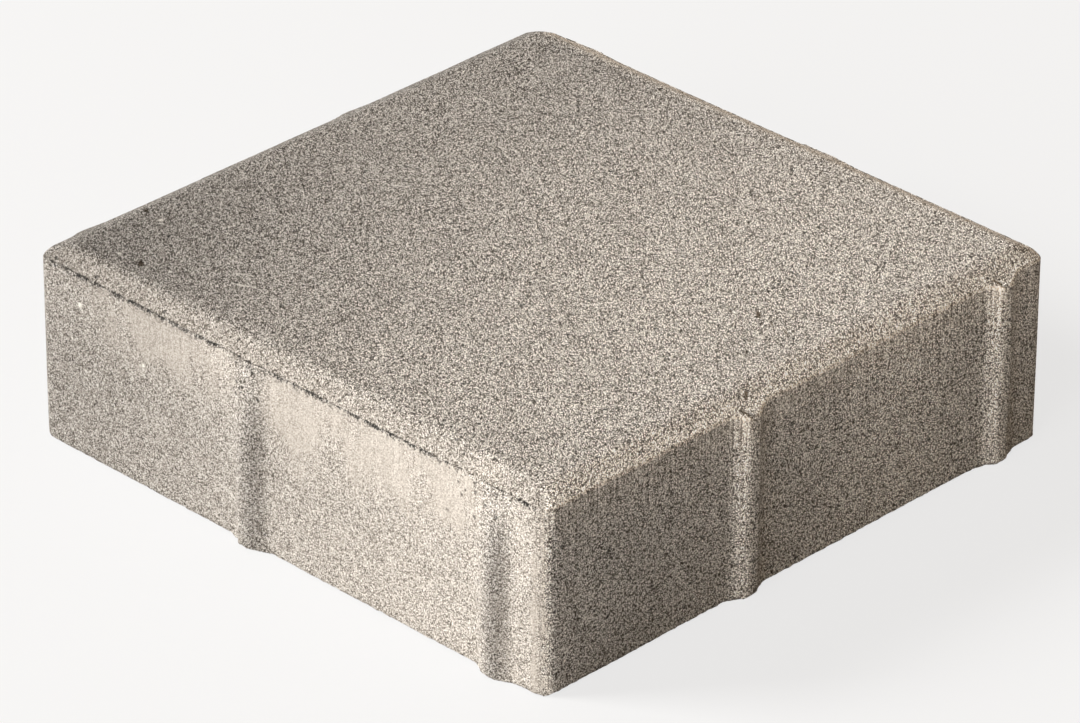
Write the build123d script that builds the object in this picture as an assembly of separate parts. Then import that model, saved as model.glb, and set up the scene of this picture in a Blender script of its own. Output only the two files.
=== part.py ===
from build123d import *
import os
from math import atan2, degrees

# Overall sizes, in millimetres

face_width = 195.0
thickness = 60.0
corner_radius = 5.0

# Chamfer round the wearing face

chamfer_width = 6.5
chamfer_height = 3.5
top_corner_radius = 1.0

# Spacer nibs on the sides
# A place is measured along its side from the middle, counter-clockwise as seen from above.

nib_reach = 2.5
nib_base_width = 12.5
nib_crest_width = 4.0
nib_crest_radius = 3.0
nib_root_radius = 2.5
front_nib_places = (-13.0, 79.0)
right_nib_places = (-21.5, 78.5)

# Helpers for shaping
# The overrun is how far one solid runs past the faces of another that it is joined to or cut by.
# The pick share is how far off a corner may lie from where it is looked for.

overrun = 1.0
pick_share = 0.1


def nib_outline():
    """One nib seen from above, with its crest towards -Y and its foot sunk into the face."""
    return Polyline(
        (-nib_base_width / 2, overrun),
        (-nib_base_width / 2, 0),
        (-nib_crest_width / 2, -nib_reach),
        (nib_crest_width / 2, -nib_reach),
        (nib_base_width / 2, 0),
        (nib_base_width / 2, overrun),
        close=True,
    )


def plan_outline():
    """The stone seen from above: a rounded square with two nibs on each side."""
    plan = RectangleRounded(face_width, face_width, corner_radius)
    nib = make_face(nib_outline())
    sides = (front_nib_places, right_nib_places, front_nib_places, right_nib_places)
    for side, places in enumerate(sides):
        for place in places:
            plan += Rot(0, 0, 90 * side) * Pos(place, -face_width / 2, 0) * nib
    return plan


def corners_at(plan, reach):
    """The outline's corners that stand out from a side by the given reach, clear of the stone's corners."""
    found = []
    for vertex in plan.vertices():
        along, out = sorted((abs(vertex.X), abs(vertex.Y)))
        near = abs(out - face_width / 2 - reach) < pick_share * nib_reach
        if near and along < face_width / 2 - corner_radius - pick_share * nib_reach:
            found.append(vertex)
    return found


def round_nibs(plan):
    """Rounds the crests of the nibs, and the hollows where they grow out of the faces."""
    plan = fillet(corners_at(plan, nib_reach), nib_crest_radius)
    return fillet(corners_at(plan, 0), nib_root_radius)


def chamfer_block():
    """All that lies under the wearing face and under the chamfer's slope, which runs on over the nibs."""
    run_on = nib_reach + overrun
    width = face_width + 2 * run_on
    radius = top_corner_radius + chamfer_width + run_on
    rise = chamfer_height * (chamfer_width + run_on) / chamfer_width
    lean = degrees(atan2(chamfer_width, chamfer_height))
    foot = Pos(0, 0, thickness - rise) * RectangleRounded(width, width, radius)
    return extrude(foot, rise, taper=lean) + extrude(foot, rise - thickness)


def paving_stone():
    """The stone, resting on z = 0 with its wearing face up."""
    return extrude(round_nibs(plan_outline()), thickness) & chamfer_block()


os.makedirs("parts", exist_ok=True)
export_step(paving_stone(), "parts/paving_stone.step")
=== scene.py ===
"""Looks of a square concrete paving stone: one pressed casting with chamfer, spacer nibs and sandy face."""

import logging
import math
import random
from dataclasses import asdict, dataclass, field
from enum import Enum
from typing import Callable, Sequence

import bpy
import numpy as np
from mathutils import Matrix, Vector, noise


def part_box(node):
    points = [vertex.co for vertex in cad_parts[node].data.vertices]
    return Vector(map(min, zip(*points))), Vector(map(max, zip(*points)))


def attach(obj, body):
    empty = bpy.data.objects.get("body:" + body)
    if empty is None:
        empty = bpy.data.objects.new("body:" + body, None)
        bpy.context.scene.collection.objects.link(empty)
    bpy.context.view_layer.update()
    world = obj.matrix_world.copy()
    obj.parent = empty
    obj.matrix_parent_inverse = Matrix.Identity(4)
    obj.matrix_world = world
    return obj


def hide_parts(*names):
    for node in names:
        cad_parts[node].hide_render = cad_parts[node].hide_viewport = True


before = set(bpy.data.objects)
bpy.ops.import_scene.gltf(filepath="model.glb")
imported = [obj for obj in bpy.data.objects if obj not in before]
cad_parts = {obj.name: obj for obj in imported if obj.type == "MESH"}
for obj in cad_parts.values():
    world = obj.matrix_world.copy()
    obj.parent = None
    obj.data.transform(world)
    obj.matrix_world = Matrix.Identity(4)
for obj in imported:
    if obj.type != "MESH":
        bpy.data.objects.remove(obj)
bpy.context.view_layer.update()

LOG = logging.getLogger("paving_stone")
MM = 0.001
CLOSE = MM / 100
NODE = "paving_stone"
BODY = "root"
WHITE = (1.0, 1.0, 1.0, 1.0)

Colour = tuple[float, float, float]
Triple = tuple[float, float, float]
Socket = bpy.types.NodeSocket


def deselect_all() -> None:
    """Leaves no object selected, so that an operator acts only on what is chosen next."""
    bpy.ops.object.select_all(action="DESELECT")


def activate(piece: bpy.types.Object) -> None:
    """Selects one object alone and makes it the active one.

    Args:
        piece: the object to select.
    """
    deselect_all()
    piece.select_set(True)
    bpy.context.view_layer.objects.active = piece


def read_vectors(items: bpy.types.bpy_prop_collection, name: str) -> np.ndarray:
    """Reads one vector from each item.

    Args:
        items: the vertices or faces of a mesh.
        name: which of their vectors to read.

    Returns:
        A row for each item.
    """
    values = np.zeros(len(items) * 3)
    items.foreach_get(name, values)
    return values.reshape(-1, 3)


def move_vertices(mesh: bpy.types.Mesh, points: np.ndarray) -> None:
    """Puts each vertex at its new place."""
    mesh.vertices.foreach_set("co", points.ravel())
    mesh.update()


def rise(low: float, high: float, value: np.ndarray) -> np.ndarray:
    """Climbs smoothly from 0 at low to 1 at high."""
    share = np.clip((value - low) / (high - low), 0.0, 1.0)
    return share * share * (3.0 - 2.0 * share)


def hump(centre: float, width: float, value: np.ndarray) -> np.ndarray:
    """A smooth hump of height 1 at the centre that dies out at the given distance from it."""
    return 1.0 - rise(0.0, width, np.abs(value - centre))


def lumps(points: np.ndarray, grain: float, octaves: int, shift: float) -> np.ndarray:
    """Seeded fractal noise over points.

    Args:
        points: places, one row each, in metres.
        grain: size of the largest lumps, in metres.
        octaves: number of finer layers added.
        shift: offset that picks another part of the same noise.

    Returns:
        One value for each point, mostly between -1 and 1.
    """
    places = points / grain + shift
    return np.array([noise.fractal(Vector(place), 1.0, 2.0, octaves) for place in places])


class Mask(Enum):
    """What the skin stores at each vertex for its finish and for painted light and shade, by the names that
    the material reads.
    """

    PALE_STONE = "pale_stone"
    HOLLOW = "hollow"
    RIM_DEPTH = "rim_depth"
    BEHIND_RIM = "behind_rim"
    UNDER_RIM = "under_rim"
    SMOOTH_PASTE_AND_HIGHLIGHT = "smooth_paste_and_highlight"
    DRAG_ZONE = "drag_zone"
    # Broad lightness, largely painted light and shade on faces, nib flanks, rim and corner.
    TONE = "tone"
    CONTRAST = "contrast"


class Side(Enum):
    """The four upright sides, by their quarter turns from the front."""

    FRONT = 0
    RIGHT = 1
    BACK = 2
    LEFT = 3

    @property
    def turn(self) -> Matrix:
        """The turn that takes the front side to this one."""
        return Matrix.Rotation(self.value * math.pi / 2, 3, "Z")

    @property
    def outward(self) -> Vector:
        """The direction that this side faces."""
        return self.turn @ Vector((0.0, -1.0, 0.0))

    @property
    def along(self) -> Vector:
        """The direction along this side, counter-clockwise as seen from above."""
        return self.turn @ Vector((1.0, 0.0, 0.0))

    @property
    def rubbed(self) -> bool:
        """Whether the mould left this side smooth and pale, as it did the front and the back."""
        return self in (Side.FRONT, Side.BACK)


@dataclass(frozen=True)
class Mark:
    """A pit, slot, scratch or pale stone at one place on the skin."""

    start: Vector
    end: Vector
    radius: float
    depth: float = 0.0

    def near(self, points: np.ndarray) -> np.ndarray:
        """Measures how far points lie from the mark's middle line.

        Args:
            points: places, one row each.

        Returns:
            A distance for each point.
        """
        first, run = np.array(self.start), np.array(self.end - self.start)
        share = ((points - first) @ run) / max(run @ run, 1e-12)
        foot = first + np.clip(share, 0.0, 1.0)[:, None] * run
        return np.linalg.norm(points - foot, axis=1)


@dataclass(frozen=True)
class Relief:
    """One layer of cloudy relief, pressed into the part of the skin that a mask picks."""

    name: str
    travel: float
    grain: float
    octaves: int
    still: float
    faintest: float = 0.002

    def press(self, stone: bpy.types.Object, mask: np.ndarray) -> None:
        """Moves the skin along its normals.

        Args:
            stone: the mesh object to shape.
            mask: how much of the travel each vertex takes, from 0 to 1.
        """
        group = stone.vertex_groups.new(name=self.name)
        for index in np.flatnonzero(mask > self.faintest):
            group.add([int(index)], float(mask[index]), "REPLACE")
        texture = bpy.data.textures.new(self.name, "CLOUDS")
        texture.noise_scale = self.grain
        texture.noise_depth = self.octaves
        layer = stone.modifiers.new(self.name, "DISPLACE")
        layer.vertex_group = group.name
        layer.strength = self.travel
        layer.mid_level = self.still
        layer.texture = texture
        layer.texture_coords = "LOCAL"
        activate(stone)
        bpy.ops.object.modifier_apply(modifier=layer.name)
        stone.vertex_groups.remove(stone.vertex_groups[self.name])


@dataclass
class PavingStone:
    """The casting, modelled from a block and worn by layers of relief."""

    nib_reach: float = 2.5 * MM
    nib_base_width: float = 12.2 * MM
    nib_crest_width: float = 3.6 * MM
    nib_half_foot: float = 7.2 * MM
    worn_crest_round: float = 1.3 * MM
    crisp_crest_round: float = 0.6 * MM
    nib_root_round: float = 1.3 * MM
    nib_fade: float = 0.86
    nib_left: float = 0.15
    nib_swelling: float = 0.6 * MM
    corner_radius: float = 5.0 * MM
    chamfer_width: float = 6.5 * MM
    chamfer_height: float = 3.5 * MM
    top_corner_radius: float = 1.0 * MM
    corner_steps: int = 6
    skin_cell: float = 1.6 * MM
    fine_band: float = 2.2 * MM
    fine_cuts: int = 3
    edge_band: float = 1.5 * MM
    edge_cuts: int = 2
    mark_margin: float = 1.0 * MM
    rim_height: float = 0.5 * MM
    sharp_rim: float = 0.7 * MM
    broad_rim: float = 2.0 * MM
    top_pits: int = 26
    side_pits: int = 9
    front_nibs: tuple[float, float] = (-13.0 * MM, 79.0 * MM)
    right_nibs: tuple[float, float] = (-21.5 * MM, 78.5 * MM)
    unevenness: Relief = Relief("broad unevenness", travel=0.22 * MM, grain=30 * MM, octaves=1, still=0.62)
    sandiness: Relief = Relief("sandy unevenness", travel=0.10 * MM, grain=3.2 * MM, octaves=2, still=0.55)
    crumbling: Relief = Relief("crumbled foot", travel=-0.9 * MM, grain=2.2 * MM, octaves=3, still=0.45)
    seed: int = 7
    low: np.ndarray = field(init=False)
    high: np.ndarray = field(init=False)
    side: float = field(init=False)
    thickness: float = field(init=False)
    pits: list[Mark] = field(init=False)
    pale_stones: list[Mark] = field(init=False)

    def __post_init__(self) -> None:
        """Takes the overall size from the frame, and places the marks."""
        low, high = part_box(NODE)
        self.low, self.high = np.array(low), np.array(high)
        self.side = (high[0] - low[0]) - 2 * self.nib_reach
        self.thickness = high[2] - low[2]
        self.pits = self.seen_pits() + self.scattered_pits()
        self.pale_stones = self.place_pale_stones()

    def build(self) -> bpy.types.Object:
        """Models the stone.

        Returns:
            The finished mesh object, at the origin.
        """
        stone = self.block()
        for side in Side:
            for place in self.nib_places(side):
                self.raise_nib(side, place)
        self.round_uprights()
        self.cut_chamfer()
        bpy.ops.object.mode_set(mode="OBJECT")
        self.grow_skin(stone)
        self.weather(stone)
        return stone

    def nib_places(self, side: Side) -> tuple[float, float]:
        """Where the nibs of a side lie, from its middle."""
        return self.front_nibs if side.rubbed else self.right_nibs

    def block(self) -> bpy.types.Object:
        """Adds the plain block between the nibs, and opens it in edit mode.

        Returns:
            The block's mesh object.
        """
        deselect_all()
        bpy.ops.mesh.primitive_cube_add(
            size=1.0,
            location=(0.0, 0.0, self.thickness / 2),
            scale=(self.side, self.side, self.thickness),
        )
        bpy.ops.object.transform_apply(location=True, rotation=True, scale=True)
        stone = bpy.context.active_object
        stone.name = "paving_stone_casting"
        bpy.ops.object.mode_set(mode="EDIT")
        return stone

    def raise_nib(self, side: Side, place: float) -> None:
        """Cuts a strip out of a side, draws it out and narrows it to a nib.

        Args:
            side: the side that carries the nib.
            place: the nib's middle, from the middle of the side.
        """
        along, outward = side.along, side.outward
        for edge in (-self.nib_base_width / 2, self.nib_base_width / 2):
            bpy.ops.mesh.select_all(action="SELECT")
            bpy.ops.mesh.bisect(plane_co=along * (place + edge), plane_no=along)
        middle = along * place + outward * self.side / 2

        def on_strip(centre: Vector) -> bool:
            """Tells the strip's face from the others."""
            offset = Vector(centre) - middle
            return abs(offset.dot(along)) < self.nib_base_width / 4 and abs(offset.dot(outward)) < CLOSE

        self.select_faces(on_strip)
        bpy.ops.mesh.extrude_region_move(TRANSFORM_OT_translate={"value": outward * self.nib_reach})
        shrink = self.nib_crest_width / self.nib_base_width
        factors = [shrink if abs(part) > 0.5 else 1.0 for part in along]
        bpy.ops.transform.resize(value=factors, center_override=middle + outward * self.nib_reach)

    def select_faces(self, wanted: Callable[[Vector], bool]) -> None:
        """Selects faces of the open mesh.

        Args:
            wanted: a test of a face's centre.
        """
        bpy.ops.mesh.select_mode(type="FACE")
        bpy.ops.mesh.select_all(action="DESELECT")
        bpy.ops.object.mode_set(mode="OBJECT")
        for face in bpy.context.active_object.data.polygons:
            face.select = bool(wanted(face.center))
        bpy.ops.object.mode_set(mode="EDIT")

    def select_upright_edges(self, wanted: Callable[[Vector], bool]) -> None:
        """Selects upright edges of the open mesh.

        Args:
            wanted: a test of one end of an edge.
        """
        bpy.ops.mesh.select_mode(type="EDGE")
        bpy.ops.mesh.select_all(action="DESELECT")
        bpy.ops.object.mode_set(mode="OBJECT")
        mesh = bpy.context.active_object.data
        for edge in mesh.edges:
            first, second = (mesh.vertices[index].co for index in edge.vertices)
            upright = (first - second).xy.length < CLOSE
            edge.select = bool(upright and wanted(first))
        bpy.ops.object.mode_set(mode="EDIT")

    def round_uprights(self) -> None:
        """Bevels the nibs' crests and roots, and the stone's corners."""
        half = self.side / 2

        def stands_out(end: Vector, reach: float) -> bool:
            """Tells the edges that stand out from a side by the given reach."""
            return abs(max(abs(end.x), abs(end.y)) - half - reach) < CLOSE

        def at_corner(end: Vector) -> bool:
            """Tells the stone's four corners."""
            return min(abs(end.x), abs(end.y)) > half - CLOSE

        def rubbed(end: Vector) -> bool:
            """Tells the edges of the rubbed sides."""
            return abs(end.y) > abs(end.x)

        rounds = (
            (lambda end: stands_out(end, self.nib_reach) and rubbed(end), self.worn_crest_round, 4),
            (lambda end: stands_out(end, self.nib_reach) and not rubbed(end), self.crisp_crest_round, 3),
            (lambda end: stands_out(end, 0.0) and not at_corner(end), self.nib_root_round, 4),
            (at_corner, self.corner_radius, 10),
        )
        for wanted, offset, segments in rounds:
            self.select_upright_edges(wanted)
            bpy.ops.mesh.bevel(offset=offset, segments=segments, affect="EDGES")

    def cut_chamfer(self) -> None:
        """Slices the chamfer off plane by plane, with small steps round each corner."""
        slope = math.atan2(self.chamfer_height, self.chamfer_width)
        inner = self.side / 2 - self.chamfer_width - self.top_corner_radius
        for side in Side:
            for step in range(self.corner_steps):
                angle = (side.value + step / self.corner_steps) * math.pi / 2
                facing = Vector((math.cos(angle), math.sin(angle), 0.0))
                corner = side.turn @ Vector((inner, inner, self.thickness))
                bpy.ops.mesh.select_all(action="SELECT")
                bpy.ops.mesh.bisect(
                    plane_co=corner + facing * self.top_corner_radius,
                    plane_no=facing * math.sin(slope) + Vector((0.0, 0.0, math.cos(slope))),
                    use_fill=True,
                    clear_outer=True,
                )
        bpy.ops.mesh.select_all(action="SELECT")
        bpy.ops.mesh.remove_doubles(threshold=MM / 1000)
        bpy.ops.mesh.normals_make_consistent(inside=False)

    def grow_skin(self, stone: bpy.types.Object) -> None:
        """Covers the block evenly with small faces that relief can move, and keeps its edges crisp.

        Args:
            stone: the mesh object to cover.
        """
        activate(stone)
        bpy.ops.object.duplicate()
        mould = bpy.context.active_object
        activate(stone)
        skin = stone.modifiers.new("even skin", "REMESH")
        skin.mode = "VOXEL"
        skin.voxel_size = self.skin_cell
        bpy.ops.object.modifier_apply(modifier=skin.name)
        self.refine_skin(stone.data)
        press = stone.modifiers.new("true edges", "SHRINKWRAP")
        press.target = mould
        press.wrap_method = "NEAREST_SURFACEPOINT"
        bpy.ops.object.modifier_apply(modifier=press.name)
        bpy.ops.object.shade_smooth()
        bpy.data.objects.remove(mould)

    def refine_skin(self, mesh: bpy.types.Mesh) -> None:
        """Splits faces finely along the chamfer's lower edge and at marks, less so along foot and crests.

        Args:
            mesh: the active object's mesh.
        """
        where = SurfaceMap.of_faces(mesh, self)
        fine = where.edge_distance < self.fine_band
        for mark in (*self.pits, *self.pale_stones):
            fine |= mark.near(where.points) < mark.radius + self.mark_margin
        self.split_faces(mesh, fine, self.fine_cuts)
        where = SurfaceMap.of_faces(mesh, self)
        crest = where.crest_distance < self.edge_band
        crest &= (where.edge_distance > self.fine_band) & (where.drop > 0.0)
        self.split_faces(mesh, (where.foot_distance < self.edge_band) | crest, self.edge_cuts)

    def split_faces(self, mesh: bpy.types.Mesh, picked: np.ndarray, cuts: int) -> None:
        """Splits the picked faces.

        Args:
            mesh: the active object's mesh.
            picked: true for each face to split.
            cuts: number of cuts along each edge.
        """
        bpy.ops.object.mode_set(mode="EDIT")
        bpy.ops.mesh.select_mode(type="FACE")
        bpy.ops.mesh.select_all(action="DESELECT")
        bpy.ops.object.mode_set(mode="OBJECT")
        mesh.polygons.foreach_set("select", picked)
        bpy.ops.object.mode_set(mode="EDIT")
        bpy.ops.mesh.subdivide(number_cuts=cuts, ngon=False)
        bpy.ops.object.mode_set(mode="OBJECT")

    def on_top(self, x: float, y: float) -> Vector:
        """A place on the wearing face, from millimetres."""
        return Vector((x * MM, y * MM, self.thickness))

    def on_side(self, side: Side, along: float, height: float) -> Vector:
        """A place on an upright side, from millimetres along it and above the ground."""
        return side.outward * self.side / 2 + side.along * along * MM + Vector((0.0, 0.0, height * MM))

    def seen_pits(self) -> list[Mark]:
        """Lists the pits that stand out on the real stone, and the grooves at the tops of its right nibs.

        Returns:
            The pits, in metres.
        """
        chosen = [
            Mark(self.on_top(67.6, 14.4), self.on_top(69.6, 12.2), 0.75 * MM, 1.1 * MM),
            Mark(self.on_top(73.6, 12.8), self.on_top(75.2, 11.6), 0.55 * MM, 0.7 * MM),
            Mark(self.on_top(80.0, 11.6), self.on_top(81.2, 11.2), 0.75 * MM, 0.9 * MM),
            Mark(self.on_top(61.4, 9.6), self.on_top(62.8, 9.0), 0.60 * MM, 0.8 * MM),
            Mark(self.on_top(80.6, -4.0), self.on_top(80.8, -4.6), 0.60 * MM, 0.8 * MM),
            Mark(self.on_top(65.7, 26.3), self.on_top(65.9, 26.0), 0.60 * MM, 0.7 * MM),
            Mark(self.on_top(-69.0, -83.8), self.on_top(-67.8, -85.0), 1.15 * MM, 1.4 * MM),
            Mark(self.on_top(-90.2, -62.4), self.on_top(-89.4, -63.4), 0.90 * MM, 1.1 * MM),
            Mark(Vector((93.2, -17.8, 58.6)) * MM, Vector((94.8, -19.6, 57.9)) * MM, 0.45 * MM, 0.7 * MM),
            Mark(Vector((94.6, -97.2, 53.4)) * MM, Vector((96.8, -95.4, 53.0)) * MM, 0.40 * MM, 0.5 * MM),
        ]
        start, end = self.on_side(Side.RIGHT, 23.0, 55.9), self.on_side(Side.RIGHT, 24.0, 56.6)
        chosen.append(Mark(start, end, 0.45 * MM, 0.6 * MM))
        for nib in self.right_nibs:
            start = Vector((self.side / 2 - 0.4 * MM, nib - 1.9 * MM, 56.6 * MM))
            end = Vector((self.side / 2 + 2.2 * MM, nib - 0.5 * MM, 55.3 * MM))
            chosen.append(Mark(start, end, 0.75 * MM, 1.2 * MM))
        return chosen

    def scattered_pits(self) -> list[Mark]:
        """Strews small pits over the wearing face and the sides.

        Returns:
            The pits, in metres.
        """
        dice = random.Random(self.seed)
        chosen = []
        for _ in range(self.top_pits):
            place = self.on_top(dice.uniform(-86, 86), dice.uniform(-86, 86))
            drift = Vector((dice.uniform(-0.7, 0.7) * MM, dice.uniform(-0.7, 0.7) * MM, 0.0))
            radius, depth = dice.uniform(0.4, 0.7) * MM, dice.uniform(0.4, 0.8) * MM
            chosen.append(Mark(place, place + drift, radius, depth))
        for side in Side:
            for _ in range(self.side_pits):
                place = self.on_side(side, dice.uniform(-88, 88), dice.uniform(4, 52))
                radius, depth = dice.uniform(0.4, 0.65) * MM, dice.uniform(0.3, 0.6) * MM
                chosen.append(Mark(place, place, radius, depth))
        return chosen

    def place_pale_stones(self) -> list[Mark]:
        """Lists the pale stones that lie bare in the surface, and the short pale scratches.

        Returns:
            The marks, in metres.
        """
        tops = (
            (66.1, 15.9, 0.6), (66.3, 33.4, 0.55), (74.6, 18.9, 0.5),
            (-82.8, -64.5, 0.9), (-65.8, -39.2, 0.6), (-76.9, -85.4, 0.7),
        )
        fronts = ((-79.8, 47.5, 0.9), (-54.6, 38.7, 0.7))
        scratches = (
            (self.on_side(Side.RIGHT, 54.3, 42.9), self.on_side(Side.RIGHT, 56.8, 44.8), 0.35),
            (self.on_top(-46.5, -70.7), self.on_top(-42.0, -68.5), 0.28),
            (self.on_top(-42.9, -75.2), self.on_top(-36.7, -72.4), 0.32),
        )
        stones = [(self.on_top(x, y), size) for x, y, size in tops]
        stones += [(self.on_side(Side.FRONT, x, z), size) for x, z, size in fronts]
        marks = [Mark(place, place, size * MM) for place, size in stones]
        return marks + [Mark(start, end, size * MM) for start, end, size in scratches]

    def weather(self, stone: bpy.types.Object) -> None:
        """Presses the relief of the casting into its skin, and records where its finishes and its painted
        light and shade lie.

        Args:
            stone: the mesh object to shape.
        """
        self.raise_rim(stone)
        self.sink_front_nibs(stone)
        self.unevenness.press(stone, np.ones(len(stone.data.vertices)))
        where = SurfaceMap.of(stone, self)
        calm = 1.0 - 0.85 * hump(0.0, 3.0 * MM, where.edge_distance)
        calm *= 0.3 + 0.7 * where.topside()
        self.sandiness.press(stone, calm)
        where = SurfaceMap.of(stone, self)
        self.crumbling.press(stone, hump(0.0, 2.4 * MM, where.foot_distance))
        self.dig_pits(stone)
        self.keep_inside(stone)
        self.record_finishes(stone)

    def raise_rim(self, stone: bpy.types.Object) -> None:
        """Draws up the ragged rim that the mould leaves along the chamfer's lower edge.

        Args:
            stone: the mesh object to shape.
        """
        where = SurfaceMap.of(stone, self)
        points = where.points.copy()
        depth = np.maximum(where.outside, 0.0)
        near = np.flatnonzero((depth < 2.4 * MM) & (where.drop < 1.4 * MM) & (where.drop > -1.0 * MM))
        rubbed = where.rubbed_sides()[near]
        waves = lumps(points[near], 9.0 * MM, 1, 8.1)
        teeth = lumps(points[near], 1.3 * MM, 2, 2.7)
        ragged = np.clip(0.8 + 0.25 * waves, 0.3, 1.2)
        ragged *= np.clip(0.8 + np.where(rubbed, 0.7, 0.35) * teeth, 0.1, 1.3)
        spread = np.where(rubbed, self.sharp_rim, self.broad_rim)
        slope = 1.0 - rise(0.0, 1.0, depth[near] / spread)
        lift = self.rim_height * ragged * slope * (1.0 - rise(0.0, 1.2 * MM, where.drop[near]))
        lift *= np.where(rubbed, 1.0, 0.4)
        points[near, 2] += lift
        move_vertices(stone.data, points)

    def sink_front_nibs(self, stone: bpy.types.Object) -> None:
        """Lets the front and back nibs run out into a low swelling under the chamfer, as the mould left them.

        Args:
            stone: the mesh object to shape.
        """
        points = read_vectors(stone.data.vertices, "co")
        for side in (Side.FRONT, Side.BACK):
            along, outward = np.array(side.along), np.array(side.outward)
            proud = points @ outward - self.side / 2
            place = points @ along
            fade = rise(32 * MM, 53 * MM, points[:, 2])
            move = np.where(proud > 0.0, -self.nib_fade * fade * proud, 0.0)
            for nib in self.front_nibs:
                swell = self.nib_swelling * hump(nib - 4 * MM, 13 * MM, place)
                move += swell * fade * rise(-6 * MM, 0.0, proud)
            points += move[:, None] * outward
        move_vertices(stone.data, points)

    def dig_pits(self, stone: bpy.types.Object) -> None:
        """Sinks each pit, with a ragged rim.

        Args:
            stone: the mesh object to shape.
        """
        where = SurfaceMap.of(stone, self)
        move = np.zeros(len(where.points))
        for pit in self.pits:
            distance = pit.near(where.points)
            close = np.flatnonzero(distance < pit.radius * 2)
            ragged = distance[close] * (1.0 + 0.45 * lumps(where.points[close], 1.1 * MM, 2, 5.3))
            sunk = pit.depth * (1.0 - rise(0.35 * pit.radius, pit.radius, ragged))
            move[close] = np.minimum(move[close], -sunk)
        move_vertices(stone.data, where.points + where.normals * move[:, None])

    def keep_inside(self, stone: bpy.types.Object) -> None:
        """Holds the skin inside the frame's box, so that the stone lies flat and keeps its size."""
        points = read_vectors(stone.data.vertices, "co")
        move_vertices(stone.data, np.clip(points, self.low, self.high))

    def cover(self, marks: list[Mark], inner: float, outer: float, points: np.ndarray) -> np.ndarray:
        """Finds how far marks cover the skin, with soft borders.

        Args:
            marks: pits or pale stones.
            inner: where a border starts, as a share of the mark's radius.
            outer: where it ends, as a share of the mark's radius.
            points: places on the skin, one row each.

        Returns:
            A value for each point, from 0 to 1.
        """
        covered = np.zeros(len(points))
        for mark in marks:
            soft = 1.0 - rise(inner * mark.radius, outer * mark.radius, mark.near(points))
            covered = np.maximum(covered, soft)
        return covered

    def record_finishes(self, stone: bpy.types.Object) -> None:
        """Stores the masks that the concrete's finish reads, painted light and shade among them, a value for
        each vertex.

        Args:
            stone: the finished mesh object.
        """
        where = SurfaceMap.of(stone, self)
        masks = {
            Mask.PALE_STONE: self.cover(self.pale_stones, 0.7, 1.0, where.points),
            # The pits' cover, which the material darkens as painted shade.
            Mask.HOLLOW: self.cover(self.pits, 0.5, 1.1, where.points),
            Mask.RIM_DEPTH: where.outside / MM,
            Mask.BEHIND_RIM: where.torn_zone(),
            Mask.UNDER_RIM: where.crumbly_zone(),
            Mask.SMOOTH_PASTE_AND_HIGHLIGHT: where.smooth_paste_and_highlight(),
            Mask.DRAG_ZONE: where.drag_zone(),
            Mask.TONE: where.tone(),
            Mask.CONTRAST: where.contrast(),
        }
        for mask, values in masks.items():
            layer = stone.data.attributes.new(mask.value, "FLOAT", "POINT")
            layer.data.foreach_set("value", values.astype(np.float32))

    def dress(self, stone: bpy.types.Object, finish: "ConcreteFinish") -> None:
        """Gives the stone its finish and its place in the frame.

        Args:
            stone: the finished mesh object.
            finish: the concrete it is cast in.
        """
        stone.data.materials.clear()
        stone.data.materials.append(finish.material())
        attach(stone, BODY)
        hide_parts(NODE)


@dataclass(frozen=True)
class PaintedLightAndTones:
    """Plain lightness of each face, before its ends and nibs change it; partly painted light and shade, which
    makes some faces and chamfers lighter and others darker.
    """

    top: float = 1.20
    front: float = 1.07
    right: float = 0.81
    far_sides: float = 0.9
    front_chamfer: float = 1.0
    right_chamfer: float = 1.5
    back_chamfer: float = 1.85
    left_chamfer: float = 0.62
    # Painted highlights: along the right side's rim, and on the rounding of the front right corner.
    rim_glow: float = 0.9
    corner_glow: float = 0.7


@dataclass(frozen=True)
class Contrasts:
    """How strongly the sand shows on each face, against 1 on the wearing face."""

    rubbed_chamfer: float = 0.46
    crisp_chamfer: float = 0.8
    rubbed_side: float = 0.52
    crisp_side: float = 1.35


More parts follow.
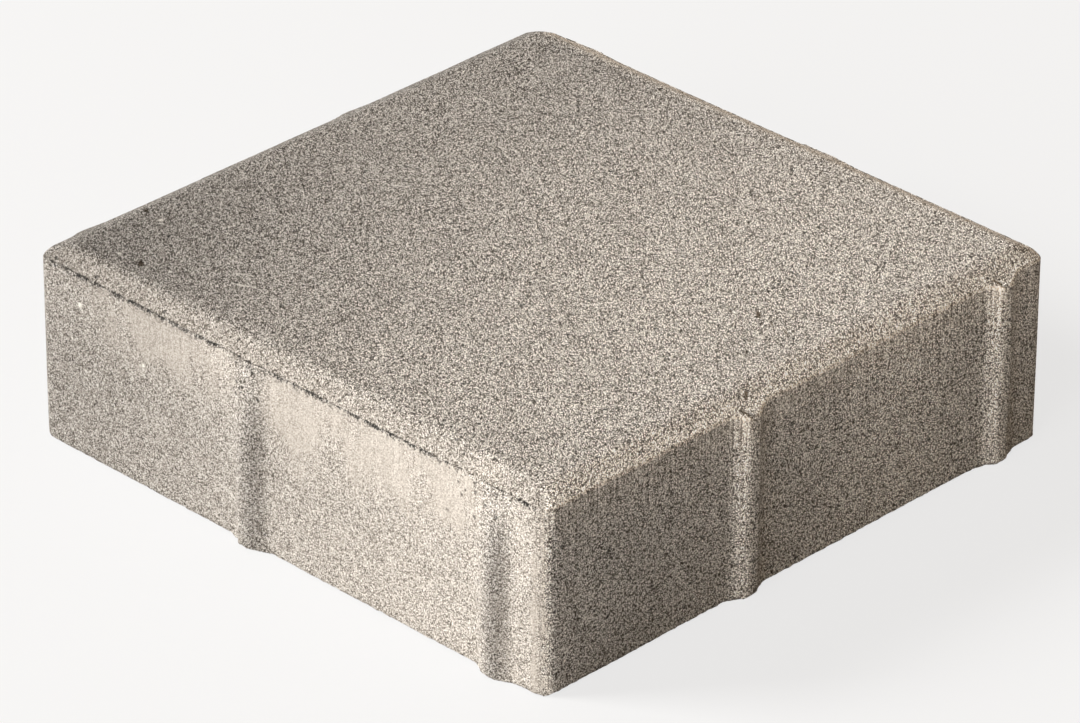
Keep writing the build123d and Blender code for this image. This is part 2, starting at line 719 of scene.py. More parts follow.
@dataclass
class SurfaceMap:
    """Where points of the skin lie on the stone, told by their place and normal."""

    points: np.ndarray
    normals: np.ndarray
    sizes: PavingStone
    tones: PaintedLightAndTones = PaintedLightAndTones()
    contrasts: Contrasts = Contrasts()

    @classmethod
    def of(cls, stone: bpy.types.Object, sizes: PavingStone) -> "SurfaceMap":
        """Maps the vertices of a stone as they lie now."""
        vertices = stone.data.vertices
        return cls(read_vectors(vertices, "co"), read_vectors(vertices, "normal"), sizes)

    @classmethod
    def of_faces(cls, mesh: bpy.types.Mesh, sizes: PavingStone) -> "SurfaceMap":
        """Maps the middles of a mesh's faces, without their normals."""
        centres = read_vectors(mesh.polygons, "center")
        return cls(centres, np.zeros_like(centres), sizes)

    @property
    def inset(self) -> np.ndarray:
        """Measures how far inside the rounded square of the sides the points lie.

        Returns:
            A distance for each point, below 0 on the nibs.
        """
        sizes = self.sizes
        reach = np.abs(self.points[:, :2]) - (sizes.side / 2 - sizes.corner_radius)
        beyond = np.linalg.norm(np.maximum(reach, 0.0), axis=1)
        return sizes.corner_radius - beyond - np.minimum(reach.max(axis=1), 0.0)

    def nib_stand(self, rubbed_share: float) -> np.ndarray:
        """Finds how far the nibs stand out at each point's place along the sides.

        Args:
            rubbed_share: how much of their reach the rubbed sides' nibs have left at the height looked at.

        Returns:
            The nibs' reach, a value for each point, 0 between them.
        """
        sizes = self.sizes
        stand = np.zeros(len(self.points))
        for side in Side:
            along, outward = np.array(side.along), np.array(side.outward)
            reach = sizes.nib_reach * (rubbed_share if side.rubbed else 1.0)
            at_side = self.points @ outward > 0.45 * sizes.side
            for nib in sizes.nib_places(side):
                profile = hump(nib, sizes.nib_half_foot, self.points @ along)
                stand = np.maximum(stand, reach * profile * at_side)
        return stand

    def nib_bands(self, side: Side) -> np.ndarray:
        """Finds the upright bands of a side that its nibs take up.

        Args:
            side: the side to look at.

        Returns:
            A value for each point, 1 on the bands and 0 between them.
        """
        place = self.points @ np.array(side.along)
        half_band = 1.6 * self.sizes.nib_half_foot
        return np.maximum(*[hump(nib, half_band, place) for nib in self.sizes.nib_places(side)])

    @property
    def outside(self) -> np.ndarray:
        """Distance inside the outline under the chamfer, where the rubbed sides' nibs have nearly gone."""
        return self.inset + self.nib_stand(self.sizes.nib_left)

    @property
    def drop(self) -> np.ndarray:
        """Measures how deep the points lie under the chamfer's slope, which runs on over the nibs.

        Returns:
            A depth for each point, measured straight down.
        """
        sizes = self.sizes
        edge = sizes.thickness - sizes.chamfer_height
        slope = sizes.chamfer_height / sizes.chamfer_width
        return edge + np.minimum(self.inset, 0.0) * slope - self.points[:, 2]

    @property
    def edge_distance(self) -> np.ndarray:
        """Distance from the chamfer's lower edge."""
        return np.hypot(self.drop, np.maximum(self.outside, 0.0))

    @property
    def foot_distance(self) -> np.ndarray:
        """Distance from the edge that the sides make with the underside, nibs and all."""
        return np.hypot(self.points[:, 2], np.maximum(self.inset + self.nib_stand(1.0), 0.0))

    @property
    def crest_distance(self) -> np.ndarray:
        """Measures how far the points lie from the upright edges of the crisp sides' crests.

        Returns:
            A distance for each point.
        """
        sizes = self.sizes
        nearest = np.full(len(self.points), sizes.side)
        for side in (Side.RIGHT, Side.LEFT):
            beyond = self.points @ np.array(side.outward) - sizes.side / 2 - sizes.nib_reach
            place = self.points @ np.array(side.along)
            for nib in sizes.nib_places(side):
                aside = np.abs(place - nib) - sizes.nib_crest_width / 2
                nearest = np.minimum(nearest, np.hypot(aside, beyond))
        return nearest

    def rubbed_sides(self) -> np.ndarray:
        """Tells the points that are nearer to a rubbed side than to another."""
        return np.abs(self.points[:, 1]) > np.abs(self.points[:, 0])

    def rubbed_place(self) -> np.ndarray:
        """Place along the nearer rubbed side, from its middle."""
        return np.where(self.points[:, 1] < 0.0, self.points[:, 0], -self.points[:, 0])

    def upright(self) -> np.ndarray:
        """1 on the sides and 0 on the level faces."""
        return 1.0 - rise(0.35, 0.75, np.abs(self.normals[:, 2]))

    def topside(self) -> np.ndarray:
        """1 on the wearing face and the chamfer."""
        return rise(0.35, 0.75, self.normals[:, 2])

    def within_chamfer(self) -> np.ndarray:
        """1 on the wearing face, going down to 0 on the chamfer's slope."""
        return rise(4 * MM, 9 * MM, self.outside)

    def facing(self, side: Side) -> np.ndarray:
        """1 where the skin faces the same way as a side."""
        return rise(0.45, 0.85, self.normals @ np.array(side.outward))

    def rim_line(self, width: float) -> np.ndarray:
        """1 on the chamfer's lower edge, dying out at the given distance from it."""
        return hump(0.0, width, self.edge_distance)

    def dark_end(self) -> np.ndarray:
        """1 at the stone's darker end and 0 well away from it."""
        return 1.0 - rise(-120 * MM, 60 * MM, self.points[:, 0])

    def torn_zone(self) -> np.ndarray:
        """Finds where a thin line of painted shadow lies behind the rubbed sides' rim, along the chamfer's
        lower edge.

        Returns:
            How wide the painted shadow is at each point, from 0 to 1.
        """
        place = self.rubbed_place()
        shadowed = 0.45 + 0.55 * rise(-97 * MM, -82 * MM, place)
        shadowed = shadowed * (1.0 - 0.45 * hump(68 * MM, 22 * MM, place))
        shadowed *= 1.0 - rise(93 * MM, 96 * MM, place)
        return shadowed * (self.outside < 1.6 * MM) * (self.drop < 0.5 * MM) * self.rubbed_sides()

    def crumbly_zone(self) -> np.ndarray:
        """How readily the rubbed sides crumble just under their rim, from 0 to 1."""
        return hump(0.4 * MM, 1.8 * MM, self.drop) * self.upright() * self.rubbed_sides()

    def smooth_paste_and_highlight(self) -> np.ndarray:
        """Finds how readily cement paste lies smooth over the sand, with a pale smooth strip near the corner
        painted as a highlight.

        Returns:
            A value for each point, from 0 to 1.
        """
        zone = np.zeros(len(self.points))
        height = self.points[:, 2]
        for side in Side:
            place = self.points @ np.array(side.along)
            if side.rubbed:
                band = 0.75 * rise(26 * MM, 52 * MM, height) * rise(-98 * MM, -50 * MM, place)
                band *= (1.0 - 0.8 * self.nib_bands(side)) * (1.0 - rise(70 * MM, 88 * MM, place))
                # Painted highlight: a pale smooth strip where the side starts to round into the corner.
                corner = 0.6 * hump(93.5 * MM, 1.5 * MM, place) * (1.0 - rise(50 * MM, 54 * MM, height))
                zone = np.maximum(zone, (0.2 + band + corner) * self.facing(side))
            else:
                near = 0.6 * (1.0 - rise(-97 * MM, -68 * MM, place)) * (1.0 - rise(25 * MM, 45 * MM, height))
                zone = np.maximum(zone, (0.1 + near) * self.facing(side))
        return np.clip(zone, 0.0, 1.0)

    def drag_zone(self) -> np.ndarray:
        """Finds how strongly the mould dragged upright lines into the sides.

        Returns:
            A value for each point, a little over 1 where they are strongest.
        """
        height = self.points[:, 2]
        high = rise(30 * MM, 52 * MM, height) + 0.3 * rise(44 * MM, 55 * MM, height)
        zone = np.zeros(len(self.points))
        for side in Side:
            most = 0.22 if side.rubbed else 1.0
            zone = np.maximum(zone, most * (0.3 + 0.7 * high) * self.facing(side))
        return zone

    def top_tone(self) -> np.ndarray:
        """Lightness of the wearing face, darker to the left and a little darker in front; its plain level is
        part of the painted light and shade between the faces.
        """
        near_end = 1.0 - rise(-140 * MM, 40 * MM, self.points[:, 1])
        return self.tones.top - 0.47 * self.dark_end() - 0.11 * near_end - 0.27 * self.dark_end() * near_end

    def front_tone(self) -> np.ndarray:
        """Finds the lightness of the front side, darker towards the left, with painted shade on and behind
        the nibs' flanks that turn from the light.

        Returns:
            A factor for each point.
        """
        x, _, z = self.points.T
        low = 1.0 - rise(40 * MM, 54 * MM, z)
        middle_nib, end_nib = self.sizes.front_nibs
        tone = self.tones.front - 0.51 * (1.0 - rise(-130 * MM, 100 * MM, x))
        tone *= 1.0 + (0.13 - 0.05 * rise(-20 * MM, 40 * MM, x)) * rise(28 * MM, 50 * MM, z)
        # Painted shade on the flank of each nib that turns from the light, and just past it.
        tone *= 1.0 - 0.26 * hump(middle_nib + 2.5 * MM, 7 * MM, x) * low
        tone *= 1.0 - 0.40 * hump(end_nib + 2.0 * MM, 6.2 * MM, x) * low
        tone *= 1.0 + 0.14 * hump(middle_nib - 10 * MM, 14 * MM, x) * (1.0 - low)
        return tone

    def right_tone(self) -> np.ndarray:
        """Finds the lightness of the right side, with painted highlights on its nibs' flanks that face the
        light and along its rim.

        Returns:
            A factor for each point.
        """
        _, y, z = self.points.T
        tone = self.tones.right + 0.30 * rise(-98 * MM, 40 * MM, y) - 0.05 * rise(84 * MM, 94 * MM, y)
        tone += 0.18 * hump(38 * MM, 36 * MM, y)
        tone *= 1.0 + 0.08 * rise(30 * MM, 52 * MM, z)
        high = 0.7 + 0.5 * rise(15 * MM, 55 * MM, z)
        # Painted highlight on the flank of each nib that faces the light.
        for nib in self.sizes.right_nibs:
            tone *= 1.0 + 0.50 * hump(nib - 3.4 * MM, 4.5 * MM, y) * high
        # Painted highlight along the rim at the chamfer's lower edge.
        return tone * (1.0 + self.tones.rim_glow * self.rim_line(0.9 * MM))

    def chamfer_tone(self) -> np.ndarray:
        """Finds the lightness of the chamfer, painted lighter or darker from side to side as light and shade,
        with a painted highlight along the right side's rim.

        Returns:
            A factor for each point.
        """
        x, y, _ = self.points.T
        # Each side's chamfer gets its own painted light or shade; the right one also gets a painted rim
        # highlight.
        front = self.tones.front_chamfer - 0.26 * self.dark_end() - 0.18 * (1.0 - rise(-98 * MM, -64 * MM, x))
        front += 0.25 * hump(74 * MM, 10 * MM, x) - 0.08 * hump(-62 * MM, 40 * MM, x)
        back = np.full(len(x), self.tones.back_chamfer)
        right = self.tones.right_chamfer + self.tones.rim_glow * self.rim_line(0.9 * MM)
        rubbed = self.rubbed_sides()
        return np.select([rubbed & (y < 0.0), rubbed, x > 0.0], [front, back, right], self.tones.left_chamfer)

    def tone(self) -> np.ndarray:
        """Finds the broad lightness painted on the concrete: painted light and shade on the faces, chamfers,
        nib flanks, rim and front right corner, and one end of the stone darker.

        Returns:
            A factor for each point.
        """
        x, y, _ = self.points.T
        level = self.within_chamfer() * self.topside()
        slope = (1.0 - level) * self.topside()
        front, right = self.facing(Side.FRONT), self.facing(Side.RIGHT)
        turn = np.degrees(np.arctan2(self.normals[:, 0], -self.normals[:, 1]))
        # Painted highlight on the rounding of the front right corner.
        corner = hump(66.0, 24.0, turn) * ((x - y) > self.sizes.side - 4 * MM)
        far = np.clip(1.0 - front - right, 0.0, 1.0)
        sides = front * self.front_tone() + right * self.right_tone() + self.tones.far_sides * far
        sides *= 1.0 + self.tones.corner_glow * corner
        return level * self.top_tone() + slope * self.chamfer_tone() + (1.0 - self.topside()) * sides

    def contrast(self) -> np.ndarray:
        """Finds how strongly the sand shows: the chamfers and the rubbed sides are calmer.

        Returns:
            A factor for each point.
        """
        x, y, z = self.points.T
        place, rubbed, level = self.rubbed_place(), self.rubbed_sides(), self.within_chamfer()
        chamfer = np.where(rubbed, self.contrasts.rubbed_chamfer, self.contrasts.crisp_chamfer)
        top = level + (1.0 - level) * chamfer
        crisp = self.contrasts.crisp_side - 0.6 * rise(42 * MM, 54 * MM, z)
        lit = [hump(nib - 3.4 * MM, 5.0 * MM, y) for nib in self.sizes.right_nibs]
        crisp -= 0.35 * np.maximum(*lit) * (x > 0.0)
        calm = self.contrasts.rubbed_side - 0.10 * rise(-98 * MM, 60 * MM, place)
        flanks = [hump(nib + 2.0 * MM, 8.0 * MM, place) for nib in self.sizes.front_nibs]
        calm += 0.18 * np.maximum(*flanks)
        sides = np.where(rubbed, calm, crisp)
        rim = self.rim_line(1.2 * MM) * ~rubbed
        return (self.topside() * top + (1.0 - self.topside()) * sides) * (1.0 - 0.5 * rim)


class Graph:
    """Adds nodes to a tree and joins them."""

    def __init__(self, tree: bpy.types.NodeTree) -> None:
        """Takes the tree to fill."""
        self.tree = tree

    def add(self, kind: str, sockets: dict | None = None, **settings: object) -> bpy.types.Node:
        """Adds one node.

        Args:
            kind: the node's type.
            sockets: values or other nodes' outputs, by the name or index of the input.
            settings: the node's own settings.

        Returns:
            The new node.
        """
        node = self.tree.nodes.new(kind)
        for name, value in settings.items():
            setattr(node, name, value)
        for name, value in (sockets or {}).items():
            self.feed(node.inputs[name], value)
        return node

    def feed(self, socket: Socket, value: object) -> None:
        """Links another node's output to a socket, or sets its value.

        Args:
            socket: the input to feed.
            value: an output, or a plain value.
        """
        if isinstance(value, Socket):
            self.tree.links.new(value, socket)
        else:
            socket.default_value = value

    def math(self, operation: str, first: object, second: object = 0.0) -> Socket:
        """Combines two numbers."""
        return self.add("ShaderNodeMath", {0: first, 1: second}, operation=operation).outputs[0]

    def plus(self, first: object, second: object) -> Socket:
        """Adds two numbers."""
        return self.math("ADD", first, second)

    def minus(self, first: object, second: object) -> Socket:
        """Takes the second number from the first."""
        return self.math("SUBTRACT", first, second)

    def times(self, first: object, second: object) -> Socket:
        """Multiplies two numbers."""
        return self.math("MULTIPLY", first, second)

    def less(self, amount: object) -> Socket:
        """What is left of 1 after an amount is taken off."""
        return self.minus(1.0, amount)

    def swing(self, value: object, amount: object) -> Socket:
        """Swings a value that lies about 0.5 to both sides of 0."""
        return self.times(self.minus(value, 0.5), amount)

    def ramp(self, value: object, low: float, high: float, start: float = 0.0, end: float = 1.0) -> Socket:
        """Goes smoothly from start to end while the value goes from low to high."""
        sockets = {"Value": value, "From Min": low, "From Max": high, "To Min": start, "To Max": end}
        return self.add("ShaderNodeMapRange", sockets, interpolation_type="SMOOTHSTEP").outputs[0]

    def stretch(self, place: object, factors: Triple) -> Socket:
        """Scales a place along each axis."""
        return self.add("ShaderNodeVectorMath", {0: place, 1: factors}, operation="MULTIPLY").outputs[0]

    def clouds(self, place: object, scale: object, detail: float, roughness: float = 0.5) -> Socket:
        """Lays soft noise over a place."""
        sockets = {"Vector": place, "Scale": scale, "Detail": detail, "Roughness": roughness}
        return self.add("ShaderNodeTexNoise", sockets).outputs[0]

    def tint(self, share: object, first: object, second: object, blend: str = "MIX") -> Socket:
        """Blends two colours."""
        sockets = {0: share, 6: first, 7: second}
        return self.add("ShaderNodeMix", sockets, data_type="RGBA", blend_type=blend).outputs[2]

    def group(self, tree: bpy.types.NodeTree, **inputs: object) -> bpy.types.Node:
        """Places a node group with its own values.

        Args:
            tree: the group.
            inputs: its inputs, by their names in small letters.

        Returns:
            The group's node.
        """
        node = self.add("ShaderNodeGroup", node_tree=tree)
        for name, value in inputs.items():
            self.feed(node.inputs[name.replace("_", " ").title()], value)
        return node


class Effect:
    """A node group with named inputs and outputs, built once."""

    def __init__(self, name: str, inputs: Sequence[str], outputs: Sequence[str]) -> None:
        """Opens an empty group.

        Args:
            name: the group's name.
            inputs: its inputs; the one called Place is a vector, the others are numbers.
            outputs: its outputs, all numbers.
        """
        self.tree = bpy.data.node_groups.new(name, "ShaderNodeTree")
        for socket in inputs:
            kind = "NodeSocketVector" if socket == "Place" else "NodeSocketFloat"
            self.tree.interface.new_socket(name=socket, in_out="INPUT", socket_type=kind)
        for socket in outputs:
            self.tree.interface.new_socket(name=socket, in_out="OUTPUT", socket_type="NodeSocketFloat")
        self.graph = Graph(self.tree)
        self.inputs = self.graph.add("NodeGroupInput").outputs
        self.outputs = self.graph.add("NodeGroupOutput").inputs

    def give(self, name: str, value: Socket) -> None:
        """Sends a value out of the group."""
        self.graph.feed(self.outputs[name], value)


def sand_bed() -> bpy.types.NodeTree:
    """Packs sand: uneven grains, the gaps between them and a shade for each grain.

    Returns:
        The node group.
    """
    effect = Effect("sand_bed", ("Place", "Grain Size"), ("Height", "Gap", "Shade"))
    graph = effect.graph
    sockets = {"Vector": effect.inputs["Place"], "Angle": math.pi / 4}
    turned = graph.add("ShaderNodeVectorRotate", sockets, rotation_type="Z_AXIS").outputs[0]
    place = graph.stretch(turned, (0.70, 1.12, 1.0))
    scale = graph.math("DIVIDE", 1.0, effect.inputs["Grain Size"])
    grains = graph.add("ShaderNodeTexVoronoi", {"Vector": place, "Scale": scale})
    rough = graph.clouds(place, graph.times(scale, 1.3), 1.0)
    dome = graph.ramp(grains.outputs["Distance"], 0.0, 0.8, 1.0, 0.0)
    height = graph.plus(graph.times(dome, 0.55), graph.times(rough, 0.85))
    effect.give("Height", height)
    effect.give("Gap", graph.ramp(height, 0.42, 0.72, 1.0, 0.0))
    shade = graph.add("ShaderNodeSeparateColor", {"Color": grains.outputs["Color"]}).outputs[0]
    dust = graph.ramp(graph.clouds(place, graph.times(scale, 2.0), 1.0), 0.3, 0.7)
    effect.give("Shade", graph.plus(graph.times(shade, 0.6), graph.times(dust, 0.4)))
    return effect.tree


def scattered_grains() -> bpy.types.NodeTree:
    """Strews loose round spots: a share of the cells holds one spot each.

    Returns:
        The node group.
    """
    effect = Effect("scattered_grains", ("Place", "Spacing", "Share", "Radius"), ("Mask",))
    graph = effect.graph
    scale = graph.math("DIVIDE", 1.0, effect.inputs["Spacing"])
    cells = graph.add("ShaderNodeTexVoronoi", {"Vector": effect.inputs["Place"], "Scale": scale})
    pick = graph.add("ShaderNodeSeparateColor", {"Color": cells.outputs["Color"]})
    chosen = graph.math("LESS_THAN", pick.outputs[1], effect.inputs["Share"])
    inside = graph.math("DIVIDE", cells.outputs["Distance"], effect.inputs["Radius"])
    effect.give("Mask", graph.times(chosen, graph.ramp(inside, 0.75, 1.1, 1.0, 0.0)))
    return effect.tree


def drag_marks() -> bpy.types.NodeTree:
    """Draws the upright lines that the mould drags into a side as the casting leaves it.

    Returns:
        The node group.
    """
    effect = Effect("drag_marks", ("Place", "Spacing"), ("Streak",))
    graph = effect.graph
    drawn = graph.stretch(effect.inputs["Place"], (1.0, 1.0, 0.045))
    scale = graph.math("DIVIDE", 1.0, effect.inputs["Spacing"])
    effect.give("Streak", graph.ramp(graph.clouds(drawn, scale, 2.0, 0.6), 0.32, 0.68))
    return effect.tree


def cement_skin() -> bpy.types.NodeTree:
    """Spreads smooth cement paste that hides the sand in patches.

    Returns:
        The node group.
    """
    effect = Effect("cement_skin", ("Place", "Zone"), ("Skin",))
    graph = effect.graph
    drawn = graph.stretch(effect.inputs["Place"], (1.0, 1.0, 0.55))
    spread = graph.swing(graph.clouds(drawn, 95.0, 5.0, 0.62), 2.4)
    effect.give("Skin", graph.ramp(graph.plus(effect.inputs["Zone"], spread), 0.3, 0.95))
    return effect.tree


def rim_shadow_line() -> bpy.types.NodeTree:
    """Paints a thin jagged line of shadow at an even depth behind an edge, wider and narrower by turns.

    Returns:
        The node group.
    """
    effect = Effect("rim_shadow_line", ("Place", "Depth", "Zone"), ("Shadow",))
    graph = effect.graph
    place = effect.inputs["Place"]
    teeth = graph.clouds(place, 1 / (0.45 * MM), 2.0)
    runs = graph.clouds(place, 1 / (2.5 * MM), 3.0)
    middle = graph.plus(0.30, graph.swing(teeth, 1.7))
    aside = graph.math("ABSOLUTE", graph.minus(effect.inputs["Depth"], middle))
    width = graph.plus(0.15, graph.swing(runs, 0.8))
    inside = graph.ramp(graph.minus(graph.times(width, effect.inputs["Zone"]), aside), -0.05, 0.05)
    effect.give("Shadow", graph.times(inside, graph.ramp(effect.inputs["Zone"], 0.05, 0.3)))
    return effect.tree


@dataclass(frozen=True)
class Spots:
    """How thickly and how large loose spots are strewn: the radius is a share of the spacing."""

    spacing: float
    share: float
    radius: float


@dataclass(frozen=True)
class ConcreteFinish:
    """Pressed concrete: a beige cement matrix with fine sand and pale grains, and nearly black spots painted
    as the shadows in tiny pores.
    """

    matrix: Colour = (0.434, 0.395, 0.347)
    paste: Colour = (0.459, 0.418, 0.368)
    pale_grain: Colour = (0.80, 0.77, 0.70)
    # Painted shadow: the colour of the spots that stand in for tiny pores.
    dark_grain: Colour = (0.08, 0.068, 0.056)
    pale_spots: Spots = Spots(spacing=1.5 * MM, share=0.10, radius=0.25)
    # Where the painted pore shadows lie.
    dark_spots: Spots = Spots(spacing=0.9 * MM, share=0.15, radius=0.30)
    pores: Spots = Spots(spacing=2.4 * MM, share=0.16, radius=0.24)
    crumbs: Spots = Spots(spacing=0.8 * MM, share=0.5, radius=0.5)
    fine_grain: float = 0.31 * MM
    coarse_grain: float = 1.5 * MM
    streak_spacing: float = 0.8 * MM
    fine_height: float = 0.25 * MM
    coarse_height: float = 0.02 * MM
    pore_depth: float = 0.30 * MM
    streak_height: float = 0.15 * MM
    streak_light: float = 0.80
    mean_light: float = 1.05
    gap_share: float = 0.3
    # Painted shade in the gaps between the grains.
    gap_depth: float = 1.9
    shade_spread: float = 6.4
    darkest: float = 0.05
    palest: float = 2.7
    hidden: float = 0.62
    red_slope: float = 0.94
    blue_slope: float = 1.07
    # Painted shade: how far pores, crumbs, pits, the line behind the rim and the pore spots darken the
    # concrete.
    hole_shade: float = 0.65
    hollow_shade: float = 0.85
    crack_shade: float = 0.92
    dark_cover: float = 0.85
    pale_cover: float = 0.75
    stone_cover: float = 0.7
    sand_roughness: float = 0.94
    paste_roughness: float = 0.78
    gloss: float = 0.3

    def relief(
        self, graph: Graph, beds: Sequence[bpy.types.Node], bare: Socket, pits: Socket, drag: Socket
    ) -> Socket:
        """Raises the grains and the streaks, and sinks the holes.

        Args:
            graph: the material's nodes.
            beds: the fine and the coarse bed of sand.
            bare: how much of the sand shows.
            pits: where pores and crumbled places lie.
            drag: the upright streaks, to both sides of 0.

        Returns:
            The bumped normal.
        """
        fine, coarse = (bed.outputs["Height"] for bed in beds)
        sand = graph.plus(graph.times(fine, self.fine_height), graph.times(coarse, self.coarse_height))
        height = graph.minus(graph.times(sand, bare), graph.times(pits, self.pore_depth))
        height = graph.plus(height, graph.times(drag, self.streak_height))
        return graph.add("ShaderNodeBump", {"Strength": 1.0, "Distance": 1.0, "Height": height}).outputs[0]

    def grain_light(self, graph: Graph, bed: bpy.types.Node, bare: Socket, drag: Socket) -> Socket:
        """Shades each grain and each streak, with painted shade in the gaps between the grains; the pale
        grains are more neutral than the darker ones.

        Args:
            graph: the material's nodes.
            bed: the fine bed of sand.
            bare: how much of the sand shows.
            drag: the upright streaks, to both sides of 0.

        Returns:
            A colour to multiply the concrete by.
        """
        grain = graph.swing(bed.outputs["Shade"], self.shade_spread)
        # Painted shade: darkens the low gaps between the grains, where shadow falls.
        gap = graph.minus(bed.outputs["Gap"], self.gap_share)
        grain = graph.minus(grain, graph.times(gap, self.gap_depth))
        light = graph.plus(self.mean_light, graph.times(grain, bare))
        light = graph.plus(light, graph.times(drag, self.streak_light))
        light = graph.math("MINIMUM", graph.math("MAXIMUM", light, self.darkest), self.palest)
        red = graph.math("POWER", light, self.red_slope)
        blue = graph.math("POWER", light, self.blue_slope)
        return graph.add("ShaderNodeCombineColor", {0: red, 1: light, 2: blue}).outputs[0]

    def material(self) -> bpy.types.Material:
        """Builds the concrete's nodes.

        Returns:
            The finished material.
        """
        material = bpy.data.materials.new("pressed_concrete")
        material.use_nodes = True
        graph = Graph(material.node_tree)
        shader = material.node_tree.nodes["Principled BSDF"]
        place = graph.add("ShaderNodeTexCoord").outputs["Object"]
        zone = {
            mask: graph.add("ShaderNodeAttribute", attribute_name=mask.value).outputs["Fac"] for mask in Mask
        }
        bed, spots = sand_bed(), scattered_grains()
        fine = graph.group(bed, place=place, grain_size=self.fine_grain)
        coarse = graph.group(bed, place=place, grain_size=self.coarse_grain)
        pale, pore_shadow, pore, crumbs = (
            graph.group(spots, place=place, **asdict(strewn)).outputs[0]
            for strewn in (self.pale_spots, self.dark_spots, self.pores, self.crumbs)
        )
        streak = graph.group(drag_marks(), place=place, spacing=self.streak_spacing).outputs[0]
        skin = graph.group(cement_skin(), place=place, zone=zone[Mask.SMOOTH_PASTE_AND_HIGHLIGHT]).outputs[0]
        rim = {"depth": zone[Mask.RIM_DEPTH], "zone": zone[Mask.BEHIND_RIM]}
        # Painted shadow: a thin jagged line behind the rim, along the chamfer's lower edge.
        rim_shadow = graph.group(rim_shadow_line(), place=place, **rim).outputs[0]
        bare = graph.times(graph.less(graph.times(skin, self.hidden)), zone[Mask.CONTRAST])
        drag = graph.swing(streak, zone[Mask.DRAG_ZONE])
        holes = graph.math("MAXIMUM", pore, graph.times(crumbs, zone[Mask.UNDER_RIM]))
        # Broad lightness from the skin, largely painted light and shade.
        level = zone[Mask.TONE]
        # Painted shade: darkens pores, crumbs, pits and the line behind the rim, standing in for the shadow
        # inside them.
        shades = (
            (holes, self.hole_shade), (zone[Mask.HOLLOW], self.hollow_shade), (rim_shadow, self.crack_shade),
        )
        for mask, depth in shades:
            level = graph.times(level, graph.less(graph.times(mask, depth)))
        grey = graph.add("ShaderNodeCombineColor", {0: level, 1: level, 2: level}).outputs[0]
        colour = graph.tint(skin, (*self.matrix, 1.0), (*self.paste, 1.0))
        colour = graph.tint(1.0, colour, self.grain_light(graph, fine, bare, drag), "MULTIPLY")
        colour = graph.tint(1.0, colour, grey, "MULTIPLY")
        covers = (
            # Painted pore shadows first, then pale grains and pale stones.
            (graph.times(pore_shadow, graph.times(bare, self.dark_cover)), self.dark_grain),
            (graph.times(pale, graph.times(bare, self.pale_cover)), self.pale_grain),
            (graph.times(zone[Mask.PALE_STONE], self.stone_cover), self.pale_grain),
        )
        for share, grain in covers:
            colour = graph.tint(share, colour, (*grain, 1.0))
        graph.feed(shader.inputs["Base Color"], colour)
        graph.feed(shader.inputs["Normal"], self.relief(graph, (fine, coarse), bare, holes, drag))
        roughness = graph.ramp(skin, 0.0, 1.0, self.sand_roughness, self.paste_roughness)
        graph.feed(shader.inputs["Roughness"], roughness)
        shader.inputs["Specular IOR Level"].default_value = self.gloss
        return material


def seen_directly(graph: Graph) -> Socket:
    """Tells what the camera sees from light on its way.

    Args:
        graph: the nodes of a material or of the world.

    Returns:
        1 for what the camera sees, straight or in gloss or glass, and 0 for the rest.
    """
    path = graph.add("ShaderNodeLightPath")
    straight = graph.math("MAXIMUM", path.outputs["Is Camera Ray"], path.outputs["Is Glossy Ray"])
    return graph.math("MAXIMUM", straight, path.outputs["Is Transmission Ray"])


@dataclass(frozen=True)
class FloorFinish:
    """A plain pale floor that the camera sees close to white."""

    colour: Colour = (0.64, 0.635, 0.63)
    glow: float = 0.74
    roughness: float = 0.95
    gloss: float = 0.1

    def material(self) -> bpy.types.Material:
        """Builds the floor's nodes.

        Returns:
            The finished material.
        """
        material = bpy.data.materials.new("pale_floor")
        material.use_nodes = True
        graph = Graph(material.node_tree)
        shader = material.node_tree.nodes["Principled BSDF"]
        output = material.node_tree.nodes["Material Output"]
        shader.inputs["Base Color"].default_value = (*self.colour, 1.0)
        shader.inputs["Roughness"].default_value = self.roughness
        shader.inputs["Specular IOR Level"].default_value = self.gloss
        glow = graph.add("ShaderNodeEmission", {"Color": WHITE, "Strength": 1.0})
        share = graph.times(seen_directly(graph), self.glow)
        mixed = graph.add("ShaderNodeMixShader", {0: share, 1: shader.outputs[0], 2: glow.outputs[0]})
        graph.feed(output.inputs["Surface"], mixed.outputs[0])
        return material


@dataclass(frozen=True)
class Softbox:
    """A square lamp that faces the stone; a strength of 1 lights a facing surface as it is written."""

    name: str
    toward: Triple
    strength: float
    size: float
    distance: float = 4.0

    def hang(self) -> None:
        """Hangs the lamp in its direction."""
        lamp = bpy.data.lights.new(self.name, "AREA")
        lamp.shape = "SQUARE"
        lamp.size = self.size
        lamp.energy = self.strength * (math.pi * self.distance) ** 2
        softbox = bpy.data.objects.new(self.name, lamp)
        bpy.context.scene.collection.objects.link(softbox)
        toward = Vector(self.toward).normalized()
        softbox.location = toward * self.distance
        softbox.rotation_euler = toward.to_track_quat("Z", "Y").to_euler()


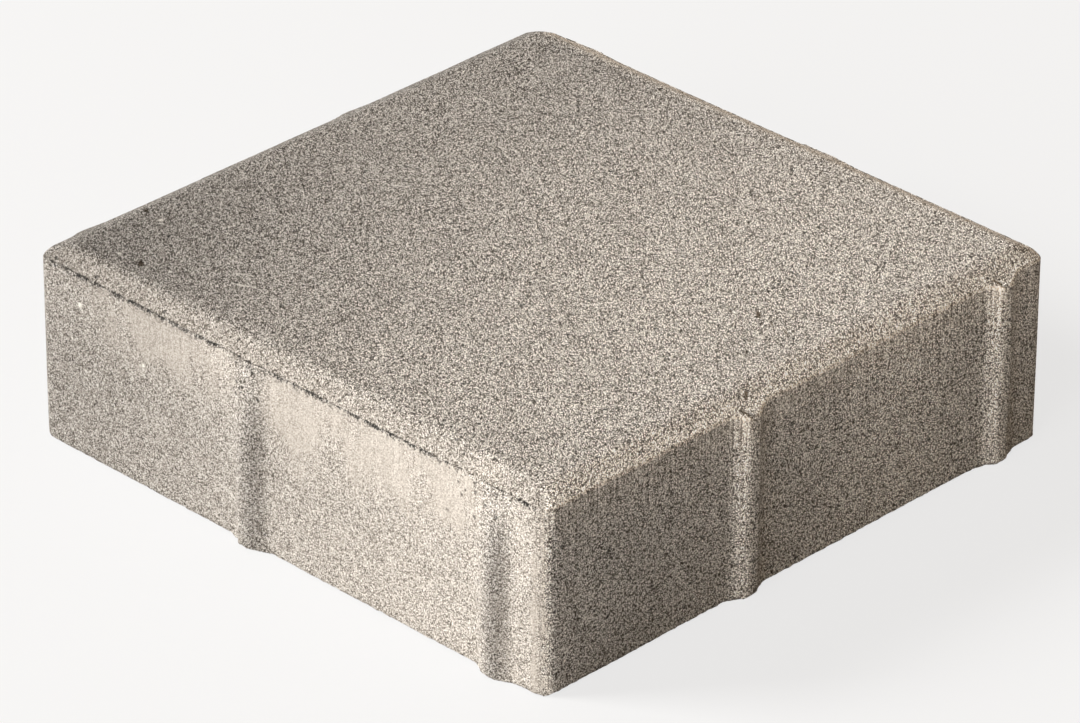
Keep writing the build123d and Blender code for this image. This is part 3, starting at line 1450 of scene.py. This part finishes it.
@dataclass
class Studio:
    """Floor, lamps, world and camera."""

    floor_size: float = 12.0
    key: Softbox = Softbox("key_softbox", (-0.62, -0.60, 0.60), strength=1.25, size=1.4)
    reach: Softbox = Softbox("reach_softbox", (0.26, -0.92, 0.34), strength=0.56, size=2.1)
    fill_strength: float = 0.20
    fill_colour: Colour = (1.0, 0.715, 0.44)
    azimuth: float = 44.59
    elevation: float = 29.48
    roll: float = 0.30
    distance: float = 1.8717
    aim: Triple = (1.77 * MM, -2.42 * MM, 24.75 * MM)
    lens: float = 227.7
    sensor: float = 36.0

    def set_camera(self) -> None:
        """Sets the camera at the photograph's angle."""
        data = bpy.data.cameras.new("camera")
        data.lens = self.lens
        data.sensor_width = self.sensor
        camera = bpy.data.objects.new("camera", data)
        bpy.context.scene.collection.objects.link(camera)
        turn, lift = math.radians(self.azimuth), math.radians(self.elevation)
        back = Vector((math.sin(turn) * math.cos(lift), -math.cos(turn) * math.cos(lift), math.sin(lift)))
        camera.location = Vector(self.aim) + back * self.distance
        pose = back.to_track_quat("Z", "Y").to_matrix() @ Matrix.Rotation(math.radians(self.roll), 3, "Z")
        camera.rotation_euler = pose.to_euler()
        bpy.context.scene.camera = camera
        bpy.context.scene.view_settings.view_transform = "Standard"

    def hang_lamps(self) -> None:
        """Hangs the key, which grazes the sides, and the softer lamp that reaches round the corner."""
        self.key.hang()
        self.reach.hang()

    def fill_room(self) -> None:
        """Surrounds the stone with soft light, which the camera sees as white."""
        world = bpy.data.worlds.new("soft_room")
        world.use_nodes = True
        bpy.context.scene.world = world
        graph = Graph(world.node_tree)
        room = world.node_tree.nodes["Background"]
        room.inputs["Color"].default_value = (*self.fill_colour, 1.0)
        room.inputs["Strength"].default_value = self.fill_strength
        white = graph.add("ShaderNodeBackground", {"Color": WHITE, "Strength": 1.0})
        sockets = {0: seen_directly(graph), 1: room.outputs[0], 2: white.outputs[0]}
        mixed = graph.add("ShaderNodeMixShader", sockets)
        graph.feed(world.node_tree.nodes["World Output"].inputs["Surface"], mixed.outputs[0])

    def lay_floor(self) -> None:
        """Lays the floor under the stone."""
        deselect_all()
        bpy.ops.mesh.primitive_plane_add(size=self.floor_size, location=(0.0, 0.0, 0.0))
        floor = bpy.context.active_object
        floor.name = "studio_floor"
        floor.data.materials.append(FloorFinish().material())


def main() -> None:
    """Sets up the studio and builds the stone."""
    logging.basicConfig(level=logging.INFO, format="%(message)s")
    studio = Studio()
    studio.set_camera()
    studio.hang_lamps()
    studio.fill_room()
    studio.lay_floor()
    casting = PavingStone()
    stone = casting.build()
    casting.dress(stone, ConcreteFinish())
    triangles = sum(len(face.vertices) - 2 for face in stone.data.polygons)
    LOG.info("%s: %d triangles", stone.name, triangles)


if __name__ == "__main__":
    main()
